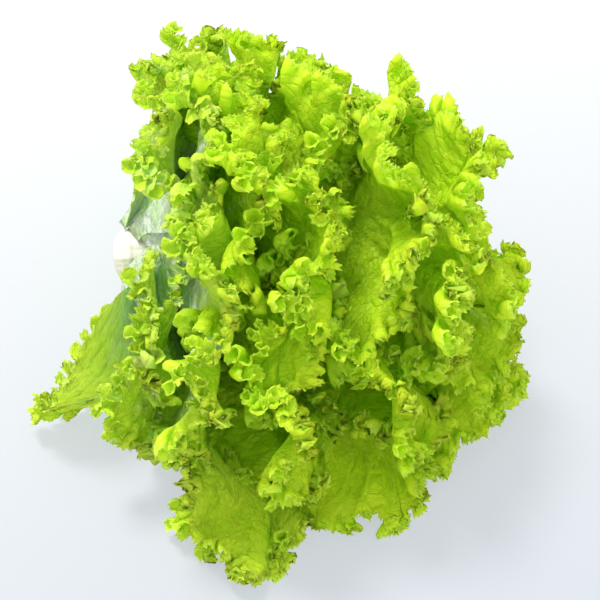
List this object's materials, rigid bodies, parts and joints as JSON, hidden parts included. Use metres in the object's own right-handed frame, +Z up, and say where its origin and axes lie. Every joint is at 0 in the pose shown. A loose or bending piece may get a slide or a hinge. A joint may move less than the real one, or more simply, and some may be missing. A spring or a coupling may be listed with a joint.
{
  "type": "curly leaf lettuce",
  "caption": "Whole head of loose curly leaf lettuce lying on its side: ruffled green leaves nested round a short pale cut stem.",
  "frame": {"origin": "on the surface the head lies on, under the middle of its bounding box", "axes": "+Z up, +Y away from the front of the head, +X from the cut stem towards the crown"},
  "size_m": [0.223, 0.2642, 0.1551],
  "materials": {
    "leaf_outer": "satin leaf, yellow-green with pale veins and rim",
    "leaf_middle": "satin leaf, yellow-green with pale veins and rim",
    "leaf_heart": "satin leaf, pale yellow-green",
    "stem": "moist, whitish with a faint pink tinge at the cut"
  },
  "bodies": {
    "root": {"stem": "stem", "outer_leaf_01": "leaf_outer", "outer_leaf_02": "leaf_outer", "outer_leaf_03": "leaf_outer", "outer_leaf_04": "leaf_outer", "outer_leaf_05": "leaf_outer", "outer_leaf_06": "leaf_outer", "outer_leaf_07": "leaf_outer", "outer_leaf_08": "leaf_outer", "outer_leaf_09": "leaf_outer", "outer_leaf_10": "leaf_outer", "outer_leaf_11": "leaf_outer", "outer_leaf_12": "leaf_outer", "middle_leaf_01": "leaf_middle", "middle_leaf_02": "leaf_middle", "middle_leaf_03": "leaf_middle", "middle_leaf_04": "leaf_middle", "middle_leaf_05": "leaf_middle", "middle_leaf_06": "leaf_middle", "middle_leaf_07": "leaf_middle", "middle_leaf_08": "leaf_middle", "middle_leaf_09": "leaf_middle", "middle_leaf_10": "leaf_middle", "heart_leaf_01": "leaf_heart", "heart_leaf_02": "leaf_heart", "heart_leaf_03": "leaf_heart", "heart_leaf_04": "leaf_heart", "heart_leaf_05": "leaf_heart", "heart_leaf_06": "leaf_heart", "heart_leaf_07": "leaf_heart", "heart_leaf_08": "leaf_heart"}
  },
  "joints": []
}
